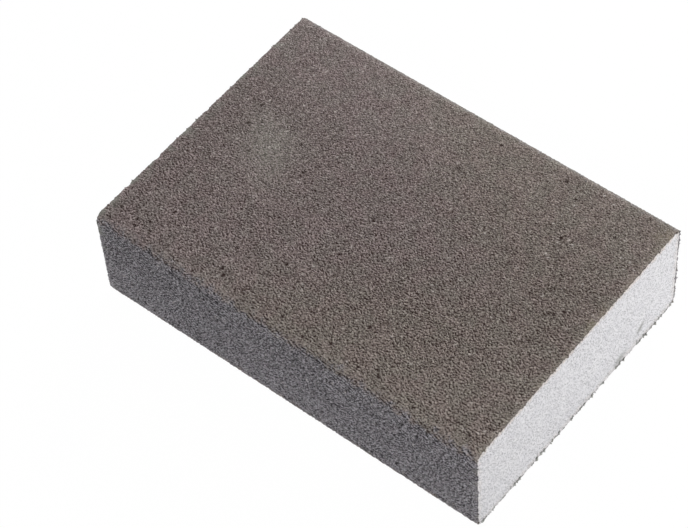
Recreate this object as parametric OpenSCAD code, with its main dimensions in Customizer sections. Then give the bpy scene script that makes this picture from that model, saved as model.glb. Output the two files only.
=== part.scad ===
// Four-sided sanding sponge.
// A block of resilient foam is coated with abrasive on its two large faces and
// its two long sides. The abrasive turns over the four long edges, which the
// foam softens to a small radius, so it is one skin that closes on itself like
// a sleeve. The block is cut to length after coating, so both ends show bare
// foam inside the cut edge of the skin.
//
// Frame: X along the length, Y across the width, Z up. The origin is the centre
// of the lower working face. Millimetres.

/* [Block] */
// Length between the two cut ends
block_l = 98; // [60:1:160]
// Width over the abrasive on the long sides
block_w = 69; // [40:1:120]
// Thickness over the abrasive on the large faces
block_h = 26; // [12:1:50]
// Radius of the four long edges, outside the abrasive
edge_r = 2; // [1.6:0.1:5]

/* [Abrasive] */
// Thickness of the abrasive on the two large faces
face_t = 0.5; // [0.3:0.05:1.2]
// Thickness of the abrasive on the two long sides
side_t = 0.4; // [0.3:0.05:1.2]

/* [Hidden] */

// Fineness of the long edges' rounding
$fn = 96;

// The foam inside the skin: the skin's inner face and the foam's outer face are
// the same surface, because the resin is cast onto the foam.
core_w = block_w - 2 * side_t;
core_h = block_h - 2 * face_t;
core_edge_r = edge_r - max(face_t, side_t);

// How far the bore that takes the foam runs past each cut end of the skin
bore_over = 1;

// Foam and skin as they show on the bench
foam_colour = "#dcdce0";
skin_colour = "#6e6661";

// Cross-section of the block, centred on the origin: a rectangle w by h whose
// corners are quarter circles of radius r.
module rounded_section(w, h, r) {
  square([w - 2 * r, h], center = true);
  square([w, h - 2 * r], center = true);
  for (side = [-1, 1], level = [-1, 1])
    translate([side * (w / 2 - r), level * (h / 2 - r)])
      circle(r = r);
}

// A bar of that section, l long and centred on the middle of the block. The
// section's first axis is laid along Y and its second along Z.
module rounded_bar(l, w, h, r) {
  translate([0, 0, block_h / 2])
    rotate([90, 0, 90])
      linear_extrude(height = l, center = true)
        rounded_section(w, h, r);
}

// The foam block, bare at both ends.
module foam_core() {
  color(foam_colour)
    rounded_bar(block_l, core_w, core_h, core_edge_r);
}

// The abrasive skin: a closed sleeve of resin and grit on four sides, open at
// both ends, where the knife cut it flush with the foam.
module abrasive_skin() {
  color(skin_colour)
    difference() {
      rounded_bar(block_l, block_w, block_h, edge_r);
      rounded_bar(block_l + 2 * bore_over, core_w, core_h, core_edge_r);
    }
}

foam_core();
abrasive_skin();
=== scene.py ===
# %% [markdown]
# # A four-sided sanding sponge
#
# The tool is a block of fine polyurethane foam with grit glued over four of its faces. A long
# bar of foam is coated all round and then sawn across, so both ends are bare, pale foam with a
# thin dark rim of grit. This lesson builds the two things that the eye looks for: a rough
# mineral coat, and a soft cut face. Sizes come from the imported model, in metres.

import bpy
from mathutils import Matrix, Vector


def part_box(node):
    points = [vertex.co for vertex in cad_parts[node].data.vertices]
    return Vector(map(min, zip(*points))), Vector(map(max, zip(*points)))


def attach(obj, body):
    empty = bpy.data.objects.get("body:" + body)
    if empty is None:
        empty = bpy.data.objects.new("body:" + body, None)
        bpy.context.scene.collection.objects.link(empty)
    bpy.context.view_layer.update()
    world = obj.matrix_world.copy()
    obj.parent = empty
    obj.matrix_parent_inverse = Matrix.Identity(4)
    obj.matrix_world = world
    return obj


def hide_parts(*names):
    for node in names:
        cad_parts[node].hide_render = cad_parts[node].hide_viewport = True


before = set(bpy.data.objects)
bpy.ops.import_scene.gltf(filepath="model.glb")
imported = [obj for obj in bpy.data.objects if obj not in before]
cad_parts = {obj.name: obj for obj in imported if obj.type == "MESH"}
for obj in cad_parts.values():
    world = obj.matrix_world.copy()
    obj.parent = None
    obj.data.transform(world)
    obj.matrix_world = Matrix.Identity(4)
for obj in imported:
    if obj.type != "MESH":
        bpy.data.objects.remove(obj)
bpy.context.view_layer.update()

# %% [markdown]
# ## Tools and units
# Blender counts in metres, but a grain of grit is a third of a millimetre, so the shapes below are
# worked out in millimetres and scaled once, when a mesh is made. Grit is random. A generator that
# always starts from the same seed deals the same grains each time, so that a change in the
# picture always comes from a change in the lesson.

# %% Tools and units
import math

import bpy
import numpy as np
from mathutils import Quaternion, Vector

MM = 0.001
SEED = 7
random = np.random.default_rng(SEED)
print("Blender", bpy.app.version_string, "and seed", SEED)

# %% [markdown]
# ## Sizes
# The coat's box is the whole block, and the foam's box sits inside it, so the difference of the
# two is the coat's thickness on the large faces and on the long sides. The long edges were rubbed
# round when the bar was coated, with a radius of about 2 mm. The origin of the shapes is the middle
# of the block: x runs along the bar, y across it and z up.

# %% Read the sizes of the block
skin_low, skin_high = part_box("abrasive_skin")
foam_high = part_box("foam_core")[1]
middle = (skin_low + skin_high) / 2
length, width, height = (skin_high - skin_low) / MM
face_coat = (skin_high.z - foam_high.z) / MM
side_coat = (skin_high.y - foam_high.y) / MM
edge_radius = 2.0
print(f"block {length:.1f} x {width:.1f} x {height:.1f} mm")
print(f"coat {face_coat:.2f} and {side_coat:.2f} mm thick")

# %% [markdown]
# ## Camera
# A small block is looked down on from half a metre with a long lens, so its edges stay almost
# parallel. A camera could be placed by three numbers and turned by three more. It is easier to
# think of it on a sphere round the point it aims at: how far it turns round the block, how high
# it stands, and how far it leans over.

# %% Place the camera
lens_mm = 132.9
turn_deg, rise_deg, lean_deg = 42.60, 53.41, 4.90
distance = 0.5292
aim = middle + Vector((-6.66, -6.40, 0)) * MM


def make_camera():
    """Camera on a sphere round the aim: turned from the front towards +X, raised, then leaned."""
    turn, rise = math.radians(turn_deg), math.radians(rise_deg)
    back = Vector((math.sin(turn) * math.cos(rise), -math.cos(turn) * math.cos(rise), math.sin(rise)))
    data = bpy.data.cameras.new("camera")
    data.lens = lens_mm
    data.clip_start, data.clip_end = 0.01, 20
    camera = bpy.data.objects.new("camera", data)
    camera.location = aim + back * distance
    camera.rotation_mode = "QUATERNION"
    lean = Quaternion((0, 0, 1), -math.radians(lean_deg))
    camera.rotation_quaternion = back.to_track_quat("Z", "Y") @ lean
    bpy.context.scene.collection.objects.link(camera)
    return camera


bpy.context.scene.camera = make_camera()
print("camera at", [round(x, 3) for x in bpy.context.scene.camera.location])

# %% [markdown]
# ## The section, unrolled
# Cut across, the block is a rectangle with round corners. The coat could be four flat sheets with
# four bent strips, but the grit runs on round the edges with no seam. So the outline is unrolled
# into one length s, as if the coat were peeled off, and any pattern drawn on (x, s) wraps round
# all four faces. The line starts in the middle of the upper front edge, runs over the top to the
# back, down, under the block and up the front. A round corner is a smaller rectangle's corner plus
# a radius, and both change evenly with s, so interpolation gives them.

# %% Walk round the section
arc = math.pi / 2 * edge_radius
flat_width, flat_height = width - 2 * edge_radius, height - 2 * edge_radius
face_run, side_run = flat_width + arc, flat_height + arc


def section(s):
    """Core rectangle's point at s plus radius times the normal there. Gives points and normals."""
    steps = [0, arc / 2, flat_width, arc, flat_height, arc, flat_width, arc, flat_height, arc / 2]
    knots = np.cumsum(steps)
    angle = np.radians(np.interp(s, knots, [135, 90, 90, 0, 0, -90, -90, -180, -180, -225]))
    y, z = flat_width / 2, flat_height / 2
    core_y = np.interp(s, knots, [-y, -y, y, y, y, y, -y, -y, -y, -y])
    core_z = np.interp(s, knots, [z, z, z, z, -z, -z, -z, -z, z, z])
    normal = np.stack([np.cos(angle), np.sin(angle)], -1)
    return np.stack([core_y, core_z], -1) + edge_radius * normal, normal


print(f"once round is {2 * (face_run + side_run):.1f} mm")

# %% [markdown]
# ## One grid for the whole coat
# The grid step is about the size of one grain, so every grain can have its own height. The four
# coats were laid one at a time and meet on the edges, so grid lines run along the middle of each
# round edge, and there the coat is parted into four pieces.

# %% Lay out the grid
face_cells, side_cells, length_cells = 260, 96, 374
runs = [face_run, side_run, face_run, side_run]
cells = [face_cells, side_cells, face_cells, side_cells]
starts = np.cumsum([0] + runs)
around = np.concatenate([starts[k] + runs[k] * np.arange(cells[k]) / cells[k] for k in range(4)])
around_count = len(around)
grid, ring = (length_cells + 1, around_count), (1, around_count)
step = face_run / face_cells
x_grid = np.linspace(-length / 2, length / 2, grid[0])[:, None]
print(f"{grid[0]} x {grid[1]} points, {step:.3f} mm apart")

# %% [markdown]
# ## Where on the block
# Grit looks different near an edge, low on a side or next to a cut. So it pays to name the places
# once, as numbers at each grid point, and to let every later recipe use the names.

# %% Name the places
outline, normals = section(around)
y_of, z_of = outline.T
to_back, to_top = normals.T
on_side = np.abs(to_back) > np.abs(to_top)
from_edge = np.abs(around[:, None] - starts[None, :]).min(1)
past_edge = np.where(on_side, from_edge, -from_edge)
from_cut = length / 2 - np.abs(x_grid)
print(f"long sides take {100 * on_side.mean():.0f}% of the coat")

# %% [markdown]
# ## Noise of a chosen size
# Real grit is random, but it isn't formless: it has a size. White noise holds every size at
# once, so it is taken apart into waves with the Fourier transform, each wave is weighed by how
# near it is to the wanted size, and the rest is put back together. Waves in a Fourier transform
# end where they began, which is why the pattern also closes on itself round the block.

# %% Noise


def frequencies(shape):
    """Waves per mm down and across the grid of a Fourier transform, and the two combined."""
    down = np.fft.fftfreq(shape[0], step)[:, None]
    across = np.fft.rfftfreq(shape[1], step)[None, :]
    frequency = np.hypot(down, across)
    frequency[0, 0] = 1e-6
    return down, across, frequency


def ring_noise(shape, size, spread=0.5, rows=0.0, lean_deg=0.0):
    """White noise whose waves are weighed by a bell curve over log(wavelength / size), and by the
    power `rows` of how squarely they cross a line, which leaves rows along that line: the bar's
    length, leaned by an angle. Mean 0, sd 1."""
    down, across, frequency = frequencies(shape)
    weight = np.exp(-np.log(frequency * size) ** 2 / (2 * spread**2))
    if rows:
        lean = math.radians(lean_deg)
        crossing = math.cos(lean) * across + math.sin(lean) * down
        weight *= np.abs(crossing / frequency) ** rows
    weight[0, 0] = 0
    field = np.fft.irfft2(np.fft.rfft2(random.standard_normal(shape)) * weight, s=shape)
    return field / field.std()


print(f"the grid holds waves from {2 * step:.2f} mm to {around_count * step:.0f} mm long")

# %% [markdown]
# ## Single things
# A pore or a glinting grain stands alone, which noise of one size can't do. They are dealt out by
# chance, and each becomes a small bell: the transform of a bell is a bell too, so one product of
# waves puts a copy of it at every chosen point. Where a mark has a place, such as the line of an
# edge, its strength is simply worked out from the distance to that place.

# %% Specks, ramps and lines


def specks(rate, radius):
    """Bells of height 1 and this radius in mm, at a share `rate` of the grid's points."""
    frequency = frequencies(grid)[2]
    waves = 2 * math.pi * (radius / step) ** 2 * np.exp(-2 * (math.pi * radius * frequency) ** 2)
    return np.fft.irfft2(np.fft.rfft2(random.random(grid) < rate) * waves, s=grid)


def ramp(value, low, high):
    """0 below low, 1 above high, and a smooth S between: 3 t squared less 2 t cubed."""
    t = np.clip((value - low) / (high - low), 0, 1)
    return t * t * (3 - 2 * t)


def beside(distance, size):
    """1 on a line, and e times less for each `size` away from it."""
    return np.exp(-np.abs(distance) / size)


def bell(distance, size):
    """1 on a line, and e to the minus square of distance / size away from it."""
    return np.exp(-((distance / size) ** 2))


print(f"half a millimetre from a line: beside {beside(0.5, 1):.2f}, bell {bell(0.5, 1):.2f}")

# %% [markdown]
# ## How deep each point lies
# The coat follows the foam's cells, so it is a little wavy about a millimetre from crest to crest.
# On that sit the grains, which the coating roller left in short rows along the bar. On the long
# sides the rows are longer and lean, and they are plainest high up. A few grains stand tall. The
# coat is worn smoother towards the back, and stays rougher towards the right end. Depth is a share
# of the coat's thickness: 0 is the tallest grain, and 1 would be bare foam.

# %% Grains in rows
foam_cells = ring_noise(grid, size=1.0, spread=0.35)
grain_rows = ring_noise(grid, size=0.5, spread=0.5, rows=1.1)
side_rows = ring_noise(grid, size=0.85, spread=0.3, rows=5.0, lean_deg=24)
tall_grains = np.maximum(ring_noise(grid, size=0.5, spread=0.4) - 0.8, 0)
tall_grains -= tall_grains.mean()

cell_part, face_part, tall_part = 0.03, 0.17, 0.20
high_on_side = ramp(z_of, -2, 10)
row_part, side_part = 0.08 + 0.08 * high_on_side, 0.19 - 0.03 * high_on_side
side_grit = row_part * side_rows + side_part * grain_rows
grit_relief = np.where(on_side, side_grit, face_part * grain_rows)
relief = cell_part * foam_cells + grit_relief - tall_part * tall_grains
print(f"relief: sd {relief.std():.2f} of the coat's thickness")

# %% [markdown]
# ## Pores
# Here and there a foam cell was too wide for the resin to bridge, and shows as a dark pore. There
# are more of them beside the front edges, where the coat was bent. They could be holes cut right
# through, but they are half a millimetre wide, and a deep dimple looks the same. The limits of the
# depth are a little uneven, so that no three points of a flat wall's edge lie on one line.

# %% Pores and depth
mean_depth = 0.36
pore_depth = 0.9
bent = bell(from_edge - 3.0, 2.2) * (y_of < 0)
# A pore is a dimple in the mesh, and its darkness is painted shade, from the depth kept for the
# material.
pores = specks(rate=0.0003 + 0.007 * bent, radius=0.17)
deepest = 0.95
rough_front, worn_back, rough_right = 1.37, 0.95, 0.40
relief_left = rough_front - worn_back * ramp(y_of, -36, 33) + rough_right * ramp(x_grid, -30, 45)
uneven = 0.003 * np.abs(foam_cells)
depth = mean_depth + relief_left * relief + pore_depth * pores
depth = np.clip(depth, uneven, deepest - uneven)
print(f"depth: mean {depth.mean():.2f}, pores on {100 * (pores > 0.5).mean():.2f}% of the coat")

# %% [markdown]
# ## Where the coats differ
# The large faces are brown, and the long sides, coated in another pass, are a cooler grey. The two
# meet near the round edges on a wandering line. A painted image could say which point is which,
# but the points are numbers already, so each gets a share of grey: how far it lies past the edge's
# middle, pushed to and fro by noise. Under the block the sawn grains at the cut show grey as well.

# %% Share of grey
wander_mm = 0.6 * ring_noise(grid, size=4.0, spread=0.5)
wander_mm += 0.45 * ring_noise(grid, size=1.0, spread=0.5)
bottom_face = ramp(-to_top, 0.5, 0.9)
grey_edge = ramp(past_edge + wander_mm, -0.8, 2.0)
grey_share = np.maximum(grey_edge, bottom_face * beside(from_cut, 1.5))
print(f"grey on {100 * grey_share.mean():.0f}% of the coat")

# %% [markdown]
# ## Resin and dust
# Resin was smeared thin over the back edge and round the left cut, where it looks pale and a
# little green. The bar was pressed on one spot of the top, which left a faint pale smudge, and
# foam dust has dulled the sawn edges under the block in the same way. Some resin has yellowed near
# the right cut. Each mark is a bell round a place or a falling curve beside a line, broken up by
# patches of noise.

# %% Smears and stains
s_of_middle = arc / 2 + flat_width / 2


def spot(x, y, size):
    """A bell over the distance from a place on the top: 1 there, 0.6 at size, and soon 0."""
    squared = (x_grid - x) ** 2 + (around - s_of_middle - y) ** 2
    return np.exp(-squared / (2 * size**2))


patchy = ramp(ring_noise(grid, size=5.0, spread=0.6), -0.3, 1.2)
edge_film = beside(around - starts[1], 0.55) * (0.3 + 0.7 * patchy)
left_film = beside(x_grid + length / 2, 0.9) * ramp(ring_noise(grid, size=6.0, spread=0.5), 0.1, 1.0)
film = np.clip(0.7 * edge_film + left_film, 0, 1)

pressed = spot(-31.8, 1.4, 3.6) + 0.5 * spot(-37.5, 6.0, 2.4) + 0.5 * spot(-27.5, -4.5, 2.2)
pressed = np.clip(pressed, 0, 1) * (0.6 + 0.4 * patchy)
smudge = np.maximum(0.12 * pressed, 0.35 * bottom_face * beside(from_cut, 1.2))

yellow_spots = spot(48.3, 30.3, 1.7) + 0.8 * spot(48.6, 8.6, 0.9) + 0.7 * spot(48.4, 4.3, 0.8)
yellow_cut = 0.2 * beside(x_grid - length / 2, 0.7) * patchy
stain = np.clip(0.28 * yellow_spots * (0.6 + 0.6 * patchy) + yellow_cut, 0, 1)
marked = [round(100 * float((mark > 0.3).mean()), 1) for mark in (film, stain)]
print(f"film on {marked[0]}% and stain on {marked[1]}% of the coat")

# %% [markdown]
# ## Worn grains, painted light and slow tints
# Where the block is handled, the dark resin between the grains is rubbed off and the coat looks
# paler: on the round edges, on and beside the pressed spot, and next to the cuts. Painted light
# makes it paler as well: on the round edges, low on the sides as if lit from the floor, and at the
# back of the top and bottom as if lit by the lamp behind. It is also paler at their front, and
# towards the near right corner of the top. A painted warm cast of the light tints the coat towards
# the right end and the long edges. The colour drifts between pinker and greener over about a
# centimetre, and is greenest round the pressed spot. A few grains get painted glints: pale specks
# that stand in for highlights.

# %% Worn places, painted light, tints and painted glints
# The round edges: worn grains, and painted light that lifts the shade on them.
edge_wear_and_painted_light = 0.14 * bell(past_edge + 0.4, 1.2) * np.where(y_of > 0, 0.6, 1)
# Painted light low on the sides, as if from the floor.
painted_light_low_on_sides = 0.07 * ramp(-z_of, -6, 11) * on_side
# Painted light at the back of the top and bottom, and paler at their front.
painted_light_back_paler_front = (0.05 * ramp(y_of, 5, 33) + 0.03 * ramp(-y_of, 10, 30)) * ~on_side
# Paler towards the near right corner of the top.
paler_near_corner = 0.03 * ramp(x_grid - y_of, 30, 70) * ~on_side
worn_spots = 0.05 * pressed + 0.05 * spot(-30.5, -9.0, 5.0)
worn_cuts = 0.18 * beside(from_cut, 0.6)
# Wear and painted light together make the coat paler.
wear_and_painted_light = edge_wear_and_painted_light + painted_light_low_on_sides + painted_light_back_paler_front + paler_near_corner + worn_spots + worn_cuts
# A painted warm cast of the light, towards the right end and the long edges.
painted_warm_cast = ramp(x_grid + 1.2 * np.abs(y_of), 0, 45) * (1 - grey_share)
drift = ramp(ring_noise(grid, size=9.0, spread=0.5), -1.2, 1.2) * (1 - 0.7 * grey_share)
drift = np.maximum(drift, spot(-33.0, 3.0, 9.0))
# Painted glints: pale specks that stand in for highlights on broken grains.
painted_glint = 0.85 * specks(rate=0.0010, radius=0.12)
print(f"rubbed by {wear_and_painted_light.mean():.2f} on average, glints on {100 * (painted_glint > 0.4).mean():.2f}%")

# %% [markdown]
# ## The sawn rims
# The saw tears single grains out, breaks longer chips off and leaves a few threads of coat hanging
# over the cut, so the coat ends in a ragged line. Under the block, where the blade came out, lumps
# of coat and crumbs of foam stay on the edge. At the left end the whole coat was pushed a little
# past the foam. Two numbers for each point round the section hold all that: how far the coat stops
# short of the cut, and how thick it is there.

# %% Rims at the two ends
under = ramp(-to_top, 0.2, 0.9)
torn_share = 0.4 + 0.6 * under + 0.3 * ramp(to_back, 0.5, 1)


def rim(ragged, notch, overhang):
    """Short of the cut, in mm: grains and chips torn, less the threads and half of the lumps.
    Thickness as a share of that elsewhere: wavy above, and thin with lumps below."""
    torn = np.abs(ring_noise(ring, size=0.8, spread=0.8)[0]) * ragged
    chips = notch * ramp(ring_noise(ring, size=6.0, spread=0.6)[0], 1.2, 2.4)
    waves = 0.7 * ring_noise(ring, size=1.5, spread=0.6)[0]
    waves += 0.3 * random.standard_normal(around_count)
    crumbs = np.clip(0.5 + 0.8 * ring_noise(ring, size=1.0, spread=0.5)[0], 0, 2)
    lumps = under * crumbs * ramp(ring_noise(ring, size=5.0, spread=0.7)[0], -0.9, 1.0)
    threads = ramp(ring_noise(ring, size=0.8, spread=0.5)[0], 0.9, 2.4) + 0.5 * lumps
    short = (torn + chips) * torn_share - overhang * threads
    share = (1 - under) * (0.95 + 0.9 * torn_share * waves) + 0.1 * under + 1.6 * lumps
    return short, np.clip(share, 0.08, 2.6)


pushed_out = 0.12
short_left, share_left = rim(ragged=0.2, notch=0.6, overhang=0.35)
short_right, share_right = rim(ragged=0.18, notch=0.15, overhang=0.35)
short_left -= pushed_out
print(f"rim {share_right.min():.2f} to {share_right.max():.2f} of the coat's thickness")

# %% [markdown]
# ## The outside as one sheet
# Every grid point starts on the outline and is pushed inwards by its depth, at right angles to the
# face, so the pattern needs no other shape. The crests stand a fifth of the coat's thickness proud
# of the nominal face, and burrs stand prouder at the cuts of the back side. Nothing may hang below
# the underside, which rests on the table. Near a cut the relief is calmer, and the push stays
# within the coat, which may be thin there. These limits are a little uneven too.

# %% Thickness and the outer sheet
flare = 1.2
nominal = face_coat * to_top**2 + side_coat * to_back**2
to_left = np.clip(1 - (x_grid + length / 2) / flare, 0, 1)
to_right = np.clip(1 - (length / 2 - x_grid) / flare, 0, 1)
at_cut = np.maximum(to_left, to_right)
thickness = nominal * (1 + to_left * (share_left - 1) + to_right * (share_right - 1))


def lift(x, inward):
    """x along the block, and the outline pushed inward along its normals. All in mm."""
    flat = outline - normals * inward[..., None]
    return np.stack([np.broadcast_to(x, inward.shape), flat[..., 0], flat[..., 1]], -1)


x_left, x_right = -length / 2 + short_left, length / 2 - short_right
pulled_in = x_grid + short_left * (0.5 - x_grid / length) - short_right * (0.5 + x_grid / length)
calm_depth, calmed = 0.3, 0.6
settled = calm_depth + (depth - calm_depth) * (1 - calmed * at_cut)
burrs = ramp(ring_noise(ring, size=1.1, spread=0.4)[0], 0.2, 1.6) * ramp(to_back, 0.3, 0.8)
rests = to_top < -0.5
crest, crest_below, burr, most_pushed = 0.2, 0.3, 0.7, 0.8
proud = np.where(rests, crest_below * at_cut, crest) + burr * burrs * at_cut**2
most_inward = (most_pushed - uneven) * thickness
inward = np.minimum((settled - proud) * nominal, most_inward)
inward = np.where(rests, np.maximum(inward, uneven * nominal), inward)
sheet = lift(pulled_in, inward)
print(f"sheet of {sheet.shape[0] * sheet.shape[1]} points, up to {inward.max():.2f} mm deep")

# %% [markdown]
# ## Meshes from grids
# A closed piece is sewn from strips, each a grid of point numbers whose quads come from shifting
# the grid by one. Each strip also gets a box of its own on the finish map, an unrolled picture of
# the piece with no overlaps, so that grains keep their size when the finish is saved as an image.

# %% Strips


def cells_of(values):
    """The four corners of each cell of a grid, first index first."""
    corners = [values[:-1, :-1], values[1:, :-1], values[1:, 1:], values[:-1, 1:]]
    stacked = np.stack(corners, 2)
    return stacked.reshape(-1, 4, *values.shape[2:])


def strip(index, left, low, right, high):
    """Quads of a grid of point numbers, and their corners in a box of the map, rows going up."""
    u = np.linspace(left, right, index.shape[1])
    v = np.linspace(low, high, index.shape[0])
    places = np.stack(np.meshgrid(u, v), -1)
    return cells_of(index), cells_of(places)


print("one cell's corners:", cells_of(np.arange(4).reshape(2, 2)).tolist())

# %% [markdown]
# ## A mesh and its numbers
# The points, the quads and their places on the map go into Blender as whole lists, which takes a
# blink, where a loop over vertices takes a minute. Numbers that belong to a point, such as its
# depth or its share of grey, are kept on the mesh under a name, and a material reads them by it.

# %% Mesh and attributes


def make_mesh(name, points, strips, walls=()):
    """Points in mm, strips of quads and flat many-sided walls, as an object in metres."""
    quads = np.concatenate([quads for quads, _ in strips])
    places = [corners.reshape(-1, 2) for _, corners in strips] + [corners for _, corners in walls]
    mesh = bpy.data.meshes.new(name)
    in_place = points * MM + np.array(middle)
    mesh.from_pydata(in_place.tolist(), [], quads.tolist() + [numbers for numbers, _ in walls])
    finish_map = mesh.uv_layers.new(name="OFBake")
    finish_map.uv.foreach_set("vector", np.concatenate(places).astype(np.float32).ravel())
    thing = bpy.data.objects.new(name, mesh)
    bpy.context.scene.collection.objects.link(thing)
    print(f"{name}: {len(points)} points, {len(quads)} quads, {len(walls)} walls")
    return thing


def smooth_first(thing, count):
    """Shades the first faces as one smooth surface."""
    flags = np.arange(len(thing.data.polygons)) < count
    thing.data.polygons.foreach_set("use_smooth", flags)


def set_attribute(thing, name, values):
    """A number for each point, or a vector if the last axis is 3, kept on the mesh by name."""
    values = np.ascontiguousarray(values, np.float32)
    kind, field = ("FLOAT_VECTOR", "vector") if values.shape[-1] == 3 else ("FLOAT", "value")
    layer = thing.data.attributes.new(name, kind, "POINT")
    layer.data.foreach_set(field, values.ravel())


print(f"the outside alone makes {2 * length_cells * around_count} triangles")

# %% [markdown]
# ## Inside and rims of the coat
# The coat's inside is smooth and lies against the foam. It is straight along the block, so four
# lines round the section hold it: one at each cut, and one where each flared end begins. A fifth
# and a sixth line run halfway through the rims and are frayed, since sawn grit isn't flat.

# %% Inner lines and half lines
fray_mm = 0.06
inner_lines = np.stack([
    lift(x_left, nominal * share_left),
    lift(-length / 2 + flare, nominal),
    lift(length / 2 - flare, nominal),
    lift(x_right, nominal * share_right),
])


def halfway(end):
    """A frayed line halfway through the rim: between the sheet's last row and the inner line."""
    line = (sheet[end] + inner_lines[end]) / 2
    fray = np.abs(random.standard_normal(around_count)) * fray_mm
    line[:, 0] += fray if end == 0 else -fray
    return line


half_lines = np.stack([halfway(0), halfway(-1)])
print(f"left rim from {inner_lines[0, :, 0].min():.2f} to {inner_lines[0, :, 0].max():.2f} mm")

# %% [markdown]
# ## What a material needs to know
# Six rows of points are added to the sheet's rows: two half lines and four inner lines. They take
# their marks from the row at their own end. The rims' depths are given, deeper towards the
# foam, and less deep below and behind, where the saw left pale, broken grains. A material also
# needs a place on the peeled coat, in millimetres, so that its pattern runs round the edges with
# no seam.

# %% Numbers for every row
row_end = [0, -1, 0, 0, -1, -1]
row_depth = np.array([0.4, 0.4, 0.65, 0.8, 0.8, 0.65])[:, None]
row_past_cut = np.array([-0.2, 0.2, -0.4, flare, -flare, 0.4])[:, None]
paler_below, paler_behind = 0.95, 0.57
fields = {"grey": grey_share, "drift": drift, "painted_warm_cast": painted_warm_cast, "film": film, "smudge": smudge,
          "stain": stain, "painted_glint": painted_glint}
fields = {name: np.concatenate([field, field[row_end]]) for name, field in fields.items()}
paler = np.maximum(paler_below * under, paler_behind * ramp(to_back, 0.5, 1))
# The rims' depths feed the same painted shade as the coat's.
rim_depth = row_depth * (1 - paler)
# Depth less wear and painted light, which the grit turns into painted shade.
fields["painted_shade_depth"] = np.concatenate([depth - wear_and_painted_light, rim_depth])
peeled_x = np.concatenate([x_grid, np.sign(row_past_cut) * (length / 2) + row_past_cut])
print("kept for each point:", sorted(fields))

# %% [markdown]
# ## One piece of the coat
# Each piece is a slab: the grainy outside, a rim at each cut, the inside against the foam, and
# two flat walls where it meets its neighbours. As the inside is straight, one long quad does for
# each grid step between the flared ends, and the points go where the grains are.

# %% Slabs
outside_box = (0.03, 0.004, 0.97, 0.93)
left_rim_box, right_rim_box = (0.03, 0.94, 0.97, 0.95), (0.03, 0.955, 0.97, 0.965)
inside_box = (0.03, 0.97, 0.97, 0.99)
start_wall_left, end_wall_left, wall_width = 0.005, 0.98, 0.015


def wall_on_map(points, numbers, s, left):
    """A flat wall's point numbers, and its place on the map: its depth across, and x going up."""
    low, high = outside_box[1], outside_box[3]
    depth_there = np.linalg.norm(points[numbers][:, 1:] - outline[s], axis=1)
    u = left + wall_width * depth_there / depth_there.max()
    v = low + (high - low) * (points[numbers][:, 0] / (length + 1) + 0.5)
    return numbers, np.stack([u, v], -1)


def coat_piece(name, part):
    """Slab over one of the four faces, from the sheet, the half lines and the inner lines."""
    first = int(np.sum(cells[:part]))
    s = np.arange(first, first + cells[part] + 1) % around_count
    rows, columns = grid[0], len(s)
    points = np.concatenate([sheet[:, s], half_lines[:, s], inner_lines[:, s]]).reshape(-1, 3)
    number = np.arange(len(points)).reshape(-1, columns)
    outside, half, inner = number[:rows], number[rows : rows + 2], number[rows + 2 :]
    strips = [
        strip(outside, *outside_box),
        strip(np.stack([inner[0], half[0], outside[0]]), *left_rim_box),
        strip(np.stack([outside[-1], half[1], inner[3]]), *right_rim_box),
        strip(inner[::-1], *inside_box),
    ]
    start_wall = [*outside[::-1, 0], half[0, 0], *inner[:, 0], half[1, 0]]
    end_wall = [*outside[:, -1], half[1, -1], *inner[::-1, -1], half[0, -1]]
    walls = [
        wall_on_map(points, start_wall, s[0], start_wall_left),
        wall_on_map(points, end_wall, s[-1], end_wall_left),
    ]
    thing = make_mesh(name, points, strips, walls)
    smooth_first(thing, (rows - 1) * (columns - 1))
    for label, field in fields.items():
        set_attribute(thing, label, field[:, s])
    peeled_s = starts[part] + runs[part] * np.linspace(0, 1, columns)
    peeled = np.broadcast_arrays(peeled_x, peeled_s, 0.0)
    set_attribute(thing, "peeled", np.stack(peeled, -1))
    return thing


coat_names = ("coat_top", "coat_back", "coat_bottom", "coat_front")
coat = [coat_piece(name, part) for part, name in enumerate(coat_names)]

# %% [markdown]
# ## A cut end of the foam
# The foam fills the coat, so its long faces share the coat's inner lines, and only the two cut
# ends show. Each end is a patch stretched between four border lines, so its points keep to the
# coat's points all round. That is a Coons patch: blend the front border into the back one, blend
# the lower into the upper, add the two, and take away what the corners counted twice.

# %% Patch between borders


def border_patch(loop, power=1):
    """Coons patch: blends front to back and bottom to top borders, less the corners' blend. With a
    high power each border is felt only close by."""
    a, b = face_cells, side_cells
    upper, back = loop[: a + 1], loop[a : a + b + 1][::-1]
    lower = loop[a + b : 2 * a + b + 1][::-1]
    front = np.concatenate([loop[2 * a + b :], loop[:1]])
    u = np.linspace(0, 1, a + 1)[:, None, None]
    v = np.linspace(0, 1, b + 1)[None, :, None]
    by_back, by_front, by_upper, by_lower = u**power, (1 - u) ** power, v**power, (1 - v) ** power
    ruled = by_lower * lower[:, None] + by_upper * upper[:, None] + by_front * front + by_back * back
    low_corners = by_lower * (by_front * lower[0] + by_back * lower[-1])
    high_corners = by_upper * (by_front * upper[0] + by_back * upper[-1])
    return ruled - low_corners - high_corners


def border_index(index):
    """The point numbers of a patch's border, in the order of s."""
    return np.concatenate([index[:-1, -1], index[-1, :0:-1], index[:0:-1, 0], index[0, :-1]])


felt_nearby = 20
smooth_end = border_patch(outline - normals * nominal[:, None])
print(f"end patch of {smooth_end.shape[0]} x {smooth_end.shape[1]} points")

# %% [markdown]
# ## Opened cells
# Thousands of bubbles could be cut out one by one, but a blade leaves them as shallow dents a few
# tenths of a millimetre wide, so noise of that size does as well. The small cells are a band of
# noise, the single walls between them are one random number for each point, and a few cells are
# wide. The cut is coarser towards the front, where the blade went in.

# %% Dents of the cut
mean_opening, more_in_front = 0.28, 0.04
coarse_back, coarser_front = 0.55, 0.9


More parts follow.
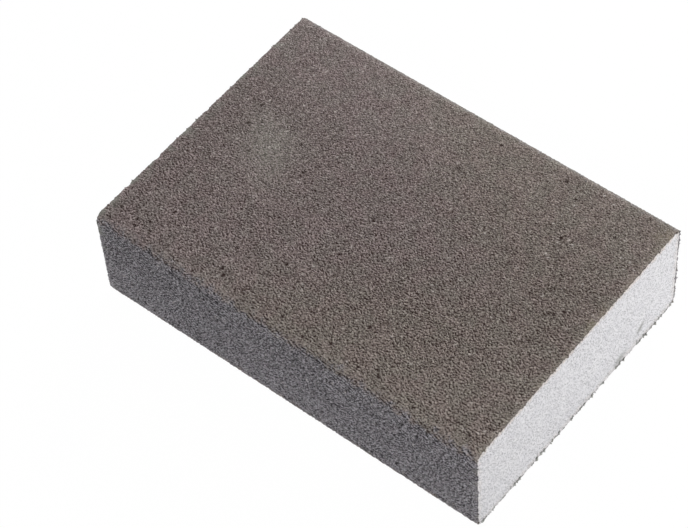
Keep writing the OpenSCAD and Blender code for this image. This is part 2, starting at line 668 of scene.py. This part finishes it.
def opened_cells(shape):
    """How far the blade opened each point: a mean, plus small cells, walls and wide cells, all
    coarser towards the front."""
    small = 0.08 * ring_noise(shape, size=0.6, spread=0.5)
    walls = 0.10 * random.standard_normal(shape)
    wide = 0.3 * ramp(ring_noise(shape, size=1.2, spread=0.4), 2.8, 3.4)
    front = np.linspace(1, 0, shape[0])[:, None]
    coarse = (coarse_back + coarser_front * front) * (small + walls + wide)
    return np.clip(mean_opening + more_in_front * front + coarse, 0, 1)


print(f"cells opened by {mean_opening:.2f} at the back, {mean_opening + more_in_front:.2f} in front")

# %% [markdown]
# ## Resin and dust on the cut
# Next to the coat, resin has soaked into the foam and left a cream band, most of all under the
# upper coat. Dust was dragged over two places near the lower back corner of the right end. Both
# are worked out from distances: to the outline, by the rule for a rectangle with round corners,
# and to the middle of each smear.

# %% Soaked rim and smears
resin_reach = 1.8
streak_y, streak_up = 21.7, 4.8


def soaked_rim(patch):
    """Resin's share: 1 at the outline and 0 past its reach, which wavers. Most under the top."""
    q = np.abs(patch) - np.array([flat_width, flat_height]) / 2
    outside = np.hypot(*np.maximum(q, 0).transpose(2, 0, 1)) + np.minimum(q.max(-1), 0)
    inside = edge_radius - outside
    wavering = 0.35 * ring_noise(patch.shape[:2], size=2.5, spread=0.5)
    upper = ramp(patch[..., 1], height / 2 - 3, height / 2 - 1)
    return ramp(resin_reach + wavering - inside, 0, 0.9) * (0.35 + 0.65 * upper)


def smears(patch):
    """Two places where dust was dragged over the cut: a slanting streak and a round dab."""
    y, z = patch[..., 0] - streak_y, patch[..., 1] + height / 2 - streak_up
    streak = bell(y + z, 2.3) * bell(y - z, 1.0)
    dab = bell(y + 7.0, 1.8) * bell(z + 2.7, 1.3)
    return 0.95 * streak + 0.7 * dab


print(f"dust on {100 * (smears(smooth_end) > 0.3).mean():.1f}% of the right end")

# %% [markdown]
# ## The foam block
# The block is one closed piece: the two ends, and a ring of strips between each end's border and
# the straight middle. The border follows the coat's inside exactly, where the coat is thick or
# thin, so no gap opens between the two.

# %% The foam block
dent_mm = 0.30
left_end_box, right_end_box = (0.004, 0.004, 0.996, 0.40), (0.004, 0.41, 0.996, 0.81)
ring_box = (0.004, 0.83, 0.996, 0.99)


def foam_piece(name):
    """Two cut ends, each joined by a flared ring to the long middle."""
    ends, opened, soaked, smeared = [], [], [], []
    for share, side in ((share_left, -1), (share_right, 1)):
        patch = smooth_end - border_patch(normals * (nominal * (share - 1))[:, None], felt_nearby)
        dents = opened_cells(patch.shape[:2])
        x = side * (length / 2 - dent_mm * dents)
        ends.append(np.concatenate([x[..., None], patch], -1).reshape(-1, 3))
        opened.append(dents.ravel())
        soaked.append(soaked_rim(patch).ravel())
        smeared.append(smears(patch).ravel() * (side > 0))
    points = np.concatenate([*ends, *inner_lines[1:3]])
    left, right = np.arange(2 * len(ends[0])).reshape(2, face_cells + 1, side_cells + 1)
    rings = 2 * len(ends[0]) + np.arange(2 * around_count).reshape(2, around_count)
    lines = np.stack([border_index(left), *rings, border_index(right)])
    closed = np.concatenate([lines, lines[:, :1]], 1)
    strips = [
        strip(left[::-1], *left_end_box),
        strip(right, *right_end_box),
        strip(closed, *ring_box),
    ]
    thing = make_mesh(name, points, strips)
    smooth_first(thing, 2 * face_cells * side_cells)
    hidden = np.zeros(2 * around_count)
    for label, field in {"painted_shade_depth": opened, "soaked": soaked, "smear": smeared}.items():
        set_attribute(thing, label, np.concatenate([*field, hidden]))
    return thing


foam = foam_piece("foam_block")

# %% [markdown]
# ## Colours and nodes
# A screen colour isn't an amount of light: twice the light is only about a third more on the
# screen's scale. Colours are picked as the screen shows them, in hex, and one function turns them
# into light. One more adds a node with its settings and links, and every material here is built
# with it alone.

# %% Helpers for materials


def light_of(hex_colour):
    """sRGB hex to linear: the low end is a straight line, the rest a power of 2.4."""
    value = np.array([int(hex_colour[i : i + 2], 16) for i in (1, 3, 5)]) / 255
    linear = np.where(value <= 0.04045, value / 12.92, ((value + 0.055) / 1.055) ** 2.4)
    return (*linear.tolist(), 1.0)


def add(tree, kind, inputs=None, **settings):
    """A node of this kind. settings are its properties. Each input is a value, a socket, or a node,
    which stands for its first live output. Where names repeat, the live socket is meant."""
    node = tree.nodes.new(kind)
    for name, value in settings.items():
        setattr(node, name, value)
    for name, value in (inputs or {}).items():
        named = [s for s in node.inputs if s.name == name and s.enabled]
        socket = named[0] if named else node.inputs[name]
        if isinstance(value, bpy.types.Node):
            value = next(s for s in value.outputs if s.enabled)
        if isinstance(value, bpy.types.NodeSocket):
            tree.links.new(value, socket)
        else:
            socket.default_value = value
    return node


print("mid grey is", round(light_of("#808080")[0], 3), "of full light")

# %% [markdown]
# ## Starting and ending a material
# Both finishes of this tool start from the numbers kept on the mesh, and end in one shader. Cut
# mineral and cut foam are dielectrics with an IOR of about 1.5. Their skins are broken up at every
# scale, so they shine much less than a polished face would.

# %% Start and end of a material


def new_material(name, marks):
    """An empty material, its node tree, and a socket for each number kept on the mesh."""
    material = bpy.data.materials.new(name)
    material.use_nodes = True
    tree = material.node_tree
    tree.nodes.clear()
    reads = {mark: add(tree, "ShaderNodeAttribute", attribute_name=mark) for mark in marks}
    return material, tree, {mark: node.outputs["Fac"] for mark, node in reads.items()}


def finish_material(material, tree, colour, roughness, normal):
    """A dull dielectric with this colour, roughness and bumps."""
    surface = {"Base Color": colour, "Roughness": roughness, "Normal": normal}
    surface = {**surface, "IOR": 1.5, "Specular IOR Level": 0.3}
    shader = add(tree, "ShaderNodeBsdfPrincipled", surface)
    add(tree, "ShaderNodeOutputMaterial", {"Surface": shader})
    print(material.name, "has", len(tree.nodes), "nodes")


def covered(tree, colour, share, over, **settings):
    """Colour covered by another one, `over` in hex, by a share."""
    inputs = {"Factor": share, "A": colour, "B": light_of(over)}
    return add(tree, "ShaderNodeMix", inputs, data_type="RGBA", **settings)


print("a face seen squarely at IOR 1.5 mirrors", round((0.5 / 2.5) ** 2, 2), "of the light")

# %% [markdown]
# ## Grit in resin: light and dark
# Crushed aluminium oxide, about a third of a millimetre across, is dropped on wet brown resin and
# sealed with a second coat of it. To the eye that is a matt, speckled grey brown: pale broken faces
# of the grains, and dark resin in the gaps between them. Grains as separate stones would take a
# million of them. Voronoi cells look like broken stones packed together, so large ones give each
# grain a dome, darker towards its edge: dark resin there, and painted shade between the grains.
# Small ones give its broken faces a tone each, few of them bright. The depth kept on the mesh is
# painted shade as well: the deeper a point, and so a pore, the darker it is. The coat was rolled
# on along the bar, so all cells lie a little longer that way.

# %% Shade of the grains
grain_mm, facet_mm = 0.30, 0.14
along_bar = 1.6
mean_shade = 0.36
dome_part, facet_part, painted_shade_part, balance = 0.25, 0.62, -1.2, 0.096
contrast, more_on_grey = 1.05, 0.55
bright_rarity = 2.2


def grain_shade(tree, mark):
    """Mean shade, plus contrast times the sum of a balance and the dome, facet and depth parts.
    The dome part is dark resin and painted shade in the gaps, the depth part painted shade in deep
    points. More contrast on grey. Gives shade, dome and facet."""
    peeled = add(tree, "ShaderNodeAttribute", attribute_name="peeled").outputs["Vector"]
    rolled = {0: peeled, 1: (1 / along_bar, 1, 1)}
    rolled = add(tree, "ShaderNodeVectorMath", rolled, operation="MULTIPLY")
    grains = {"Vector": rolled, "Scale": 1 / grain_mm}
    grains = add(tree, "ShaderNodeTexVoronoi", grains, voronoi_dimensions="2D")
    dome = {"Value": grains.outputs["Distance"], "From Min": 0.1, "From Max": 0.7}
    dome = add(tree, "ShaderNodeMapRange", {**dome, "To Min": 1.0, "To Max": 0.0})
    facets = {"Vector": rolled, "Scale": 1 / facet_mm}
    facets = add(tree, "ShaderNodeTexVoronoi", facets, voronoi_dimensions="2D")
    facet = add(tree, "ShaderNodeSeparateColor", {"Color": facets.outputs["Color"]})
    facet = {0: facet.outputs["Red"], 1: bright_rarity}
    facet = add(tree, "ShaderNodeMath", facet, operation="POWER")
    # The dome part darkens the gaps, partly as painted shade; the depth part is painted shade.
    shade = balance
    for value, part in ((dome, dome_part), (facet, facet_part), (mark["painted_shade_depth"], painted_shade_part)):
        shade = add(tree, "ShaderNodeMath", {0: value, 1: part, 2: shade}, operation="MULTIPLY_ADD")
    grey_contrast = {0: mark["grey"], 1: more_on_grey, 2: contrast}
    grey_contrast = add(tree, "ShaderNodeMath", grey_contrast, operation="MULTIPLY_ADD")
    shade = {0: shade, 1: grey_contrast, 2: mean_shade}
    shade = add(tree, "ShaderNodeMath", shade, operation="MULTIPLY_ADD")
    return shade, dome, facet


print(f"grains {grain_mm} mm and facets {facet_mm} mm across, {along_bar} times longer along")

# %% [markdown]
# ## Grit in resin: colours
# The shade mixes dark resin with pale grain, rather than making one colour darker, and so the dark
# spots stay richer in colour. The large faces have brown resin and the long sides grey. Slow tints
# make some patches greener, and a painted warm cast of the light warms some edges. Over that lie
# the marks: pressed dust, a film of resin that hides the grains, yellowed resin, and painted
# glints, pale specks that stand in for highlights.

# %% The grit material


def resin_bonded_grit():
    """Dark resin and pale grains mixed by shade, then tinted slowly, then covered by the marks."""
    name = "resin_bonded_aluminium_oxide"
    marks = ("painted_shade_depth", "grey", "drift", "painted_warm_cast", "film", "smudge", "stain", "painted_glint")
    material, tree, mark = new_material(name, marks)
    shade, dome, facet = grain_shade(tree, mark)

    resin = {"Factor": mark["grey"], "A": light_of("#2a1916"), "B": light_of("#1d191d")}
    resin = add(tree, "ShaderNodeMix", resin, data_type="RGBA")
    grain = {"Factor": mark["grey"], "A": light_of("#a99b99"), "B": light_of("#aaa6ab")}
    grain = add(tree, "ShaderNodeMix", grain, data_type="RGBA")
    colour = add(tree, "ShaderNodeMix", {"Factor": shade, "A": resin, "B": grain}, data_type="RGBA")
    colour = covered(tree, colour, mark["drift"], "#f9fffc", blend_type="MULTIPLY")
    # Painted warm cast of the light.
    colour = covered(tree, colour, mark["painted_warm_cast"], "#fcfff7", blend_type="MULTIPLY")
    colour = covered(tree, colour, mark["smudge"], "#bcc5b4")
    colour = covered(tree, colour, mark["film"], "#7b7c74")
    colour = covered(tree, colour, mark["stain"], "#938b76")
    # Painted glints, pale specks in place of highlights.
    colour = covered(tree, colour, mark["painted_glint"], "#d8d2cc")

    roughness = add(tree, "ShaderNodeMapRange", {"Value": facet, "To Min": 0.95, "To Max": 0.5})
    stones = add(tree, "ShaderNodeBump", {"Height": dome, "Strength": 1.0, "Distance": 0.18 * MM})
    finish_material(material, tree, colour, roughness, stones)
    return material


grit = resin_bonded_grit()

# %% [markdown]
# ## Cut foam
# Polyurethane foam with cells of a few tenths of a millimetre, sliced with a blade. Light goes
# some way into it and comes out again, so the cut looks pale and soft, with small grey cells.
# Next to the coat, resin has soaked in and left a cream line. The larger dents are in the mesh.
# The material adds the fine cells, each a little bowl, some deep and some hardly opened, and a
# little longer across the block than up it, as the foam rose that way. Cells and dents are painted
# greyer the deeper they are opened: painted shade in them.

# %% The foam material
cell_mm, cloud_mm = 0.28, 4
across_block = 1.5


def cut_polyurethane_foam():
    """Pale grey with painted shade in its bowls, cream where resin soaked in, and grey where dust was
    dragged.
    """
    material, tree, mark = new_material("cut_polyurethane_foam", ("painted_shade_depth", "soaked", "smear"))
    place = add(tree, "ShaderNodeTexCoord").outputs["Object"]
    clouds = {"Vector": place, "Scale": 1 / (cloud_mm * MM), "Detail": 2.0}
    clouds = add(tree, "ShaderNodeTexNoise", clouds)
    clouds = add(tree, "ShaderNodeMapRange", {"Value": clouds, "From Min": 0.3, "From Max": 0.7})
    colour = {"Factor": clouds, "A": light_of("#e9e8ea"), "B": light_of("#e4e3e6")}
    colour = add(tree, "ShaderNodeMix", colour, data_type="RGBA")
    colour = covered(tree, colour, mark["soaked"], "#e2dad4")
    colour = covered(tree, colour, mark["smear"], "#979892")

    oval = {0: place, 1: (1, 1 / across_block, 1)}
    oval = add(tree, "ShaderNodeVectorMath", oval, operation="MULTIPLY")
    bubbles = add(tree, "ShaderNodeTexVoronoi", {"Vector": oval, "Scale": 1 / (cell_mm * MM)})
    chance = add(tree, "ShaderNodeSeparateColor", {"Color": bubbles.outputs["Color"]})
    bowl = {"Value": bubbles.outputs["Distance"], "From Min": 0.1, "From Max": 0.55}
    bowl = add(tree, "ShaderNodeMapRange", {**bowl, "To Min": 1.0, "To Max": 0.0})
    opened = {0: bowl, 1: chance.outputs["Red"]}
    opened = add(tree, "ShaderNodeMath", opened, operation="MULTIPLY")
    opened = {0: mark["painted_shade_depth"], 1: 0.5, 2: opened}
    opened = add(tree, "ShaderNodeMath", opened, operation="MULTIPLY_ADD")
    # Painted shade: the deeper a cell is opened, the greyer it is.
    dent_shade = add(tree, "ShaderNodeMapRange", {"Value": opened, "From Min": 0.10, "From Max": 0.93})
    colour = covered(tree, colour, dent_shade.outputs["Result"], "#747378")

    roughness = add(tree, "ShaderNodeMapRange", {"Value": dent_shade, "To Min": 0.85, "To Max": 1.0})
    dents = {"Height": bowl, "Strength": 0.6, "Distance": 0.06 * MM}
    dents = add(tree, "ShaderNodeBump", dents, invert=True)
    finish_material(material, tree, colour, roughness, dents)
    return material


cut_foam = cut_polyurethane_foam()

# %% [markdown]
# ## Finishes and body
# Each piece gets its finish, the CAD node that it stands in for is hidden, and a body carries it.
# The tool has no moving part, so all ride on one body.

# %% Finish the pieces
for piece in coat:
    piece.data.materials.append(grit)
    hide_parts("abrasive_skin")
    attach(piece, "root")
foam.data.materials.append(cut_foam)
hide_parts("foam_core")
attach(foam, "root")
print("pieces:", [piece.name for piece in [*coat, foam]])

# %% [markdown]
# ## Sky
# A product picture has a white ground, but white light from everywhere would flatten the grit. So
# the sky gives a softer light than it shows: a Light Path node tells rays that come straight from
# the camera, or off a gloss or through glass, from those that light the block.

# %% Sky


def shown_to_eye(tree):
    """A node that is 1 for rays from the camera, off a gloss or through glass, 0 for the rest."""
    path = add(tree, "ShaderNodeLightPath").outputs
    gloss = {0: path["Is Glossy Ray"], 1: path["Is Transmission Ray"]}
    gloss = add(tree, "ShaderNodeMath", gloss, operation="MAXIMUM")
    return add(tree, "ShaderNodeMath", {0: path["Is Camera Ray"], 1: gloss}, operation="MAXIMUM")


def make_sky(strength):
    """White to the eye, and this strong as light."""
    world = bpy.data.worlds.new("sky")
    world.use_nodes = True
    tree = world.node_tree
    tree.nodes.clear()
    shown = {"Value": shown_to_eye(tree), "To Min": strength, "To Max": 1.0}
    shown = add(tree, "ShaderNodeMapRange", shown)
    sky = add(tree, "ShaderNodeBackground", {"Color": (1, 1, 1, 1), "Strength": shown})
    add(tree, "ShaderNodeOutputWorld", {"Surface": sky})
    bpy.context.scene.world = world
    print("sky strength", strength)


make_sky(strength=0.15)

# %% [markdown]
# ## Floor
# The block stands on a pale sheet that is lit as paper is, so its light fills the shaded faces and
# its shadow is real. To the eye it is almost all plain white, and the small rest keeps a faint
# shadow where the block stands.

# %% Floor


def make_floor(half_size, plain_white):
    """A pale sheet under the block. plain_white is the share of it that the eye sees as white."""
    corners = np.array([[-1, -1, 0], [1, -1, 0], [1, 1, 0], [-1, 1, 0]]) * half_size
    mesh = bpy.data.meshes.new("floor")
    mesh.from_pydata((corners + [0, 0, skin_low.z]).tolist(), [], [[0, 1, 2, 3]])
    floor = bpy.data.objects.new("floor", mesh)
    bpy.context.scene.collection.objects.link(floor)
    material, tree, _ = new_material("pale_floor", ())
    paint = add(tree, "ShaderNodeBsdfDiffuse", {"Color": light_of("#f2f2f2")})
    white = add(tree, "ShaderNodeEmission", {"Color": (1, 1, 1, 1), "Strength": 1.0})
    share = {0: shown_to_eye(tree), 1: plain_white}
    share = add(tree, "ShaderNodeMath", share, operation="MULTIPLY")
    seen = add(tree, "ShaderNodeMixShader", {0: share, 1: paint, 2: white})
    add(tree, "ShaderNodeOutputMaterial", {"Surface": seen})
    mesh.materials.append(material)
    print(f"floor {2 * half_size:.0f} m across")


make_floor(half_size=2.0, plain_white=0.99)

# %% [markdown]
# ## Lamps
# Light from behind the work, raking over it towards the eye, is what makes grit look gritty: each
# grain has a bright far slope and a dark near one. A second lamp at the front keeps the long side
# and the round edge from going black, and a weaker third one, low on the right, lights the cut
# foam. Their size keeps the shadows soft.

# %% Lamps


def soft_lamp(name, place, size, power):
    """A square lamp of this size in metres, aimed at the block."""
    data = bpy.data.lights.new(name, "AREA")
    data.size, data.energy = size, power
    lamp = bpy.data.objects.new(name, data)
    lamp.location = Vector(place)
    lamp.rotation_mode = "QUATERNION"
    lamp.rotation_quaternion = (lamp.location - middle).to_track_quat("Z", "Y")
    bpy.context.scene.collection.objects.link(lamp)
    print(f"{name}: {(lamp.location - middle).length:.2f} m away, {power} W")


soft_lamp("lamp_front", place=(0.18, -0.38, 0.44), size=0.30, power=2.5)
soft_lamp("lamp_behind", place=(-0.10, 0.42, 0.24), size=0.22, power=2.4)
soft_lamp("lamp_right", place=(0.42, 0.22, 0.12), size=0.25, power=0.76)
bpy.context.scene.view_settings.view_transform = "Standard"
